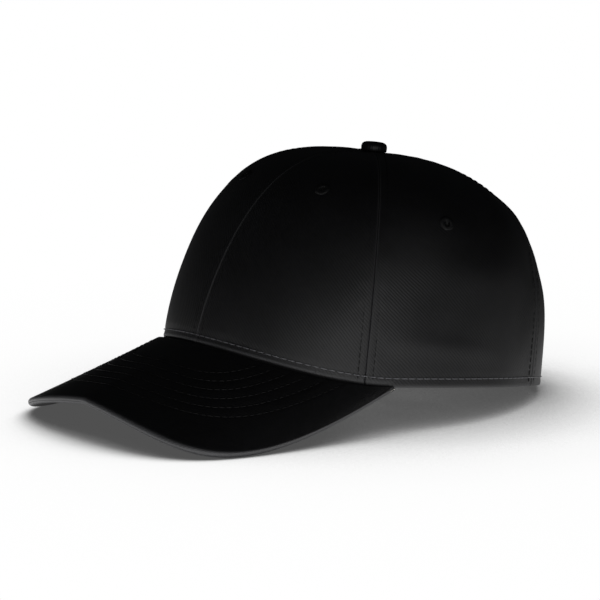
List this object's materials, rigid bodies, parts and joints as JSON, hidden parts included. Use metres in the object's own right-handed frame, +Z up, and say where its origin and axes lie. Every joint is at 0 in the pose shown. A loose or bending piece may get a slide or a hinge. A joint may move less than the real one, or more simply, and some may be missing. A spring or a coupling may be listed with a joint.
{
  "type": "baseball cap",
  "caption": "Baseball cap with a domed panelled crown, curved stiff brim, top button, sewn eyelets and an arched rear opening with strap and clasp.",
  "frame": {"origin": "under the middle of the cap's box, on the surface that it stands on", "axes": "+Z up, brim towards -Y, wearer's left towards +X; the rim plane leans back by about 7 degrees because the cap stands on its two brim corners and on the hem beside the rear opening"},
  "size_m": [0.1758, 0.2687, 0.1284],
  "materials": {
    "crown_twill": "black cotton twill",
    "brim_twill": "black cotton twill over a stiff board",
    "buckram": "open stiffened weave",
    "seam_tape": "plain woven cotton tape",
    "sweatband": "black cotton twill band",
    "brim_board": "pressed sheet",
    "binding": "bias-cut twill binding",
    "thread": "close satin stitch in polyester thread",
    "strap_twill": "folded and topstitched twill",
    "button_metal": "pressed tinplate",
    "buckle_metal": "pressed steel, satin nickel plate"
  },
  "bodies": {
    "crown": {"front_panel_left": "crown_twill", "front_panel_right": "crown_twill", "side_panel_left": "crown_twill", "side_panel_right": "crown_twill", "back_panel_left": "crown_twill", "back_panel_right": "crown_twill", "buckram_left": "buckram", "buckram_right": "buckram", "centre_seam_tape": "seam_tape", "cross_seam_tape_left": "seam_tape", "cross_seam_tape_right": "seam_tape", "sweatband": "sweatband", "brim_board": "brim_board", "brim_top_cover": "brim_twill", "brim_under_cover": "brim_twill", "arch_binding": "binding", "button_shell": "button_metal", "button_cover": "crown_twill", "button_back": "button_metal", "eyelets": "thread", "buckle_loop": "strap_twill", "buckle_frame": "buckle_metal", "buckle_pin": "buckle_metal"},
    "strap": {"strap": "strap_twill"},
    "clasp_lever": {"buckle_lever": "buckle_metal"}
  },
  "joints": [
    {"name": "strap_draw", "type": "hinge", "parent": "crown", "child": "strap", "pos_m": [0, 0.04913, 0.01017], "axis": [0, 0.1213, 0.9926], "range_deg": [-7, 7]},
    {"name": "clasp", "type": "hinge", "parent": "crown", "child": "clasp_lever", "pos_m": [0.00702, 0.1319, 0.01476], "axis": [0, 0.1213, 0.9926], "range_deg": [0, 105]}
  ]
}
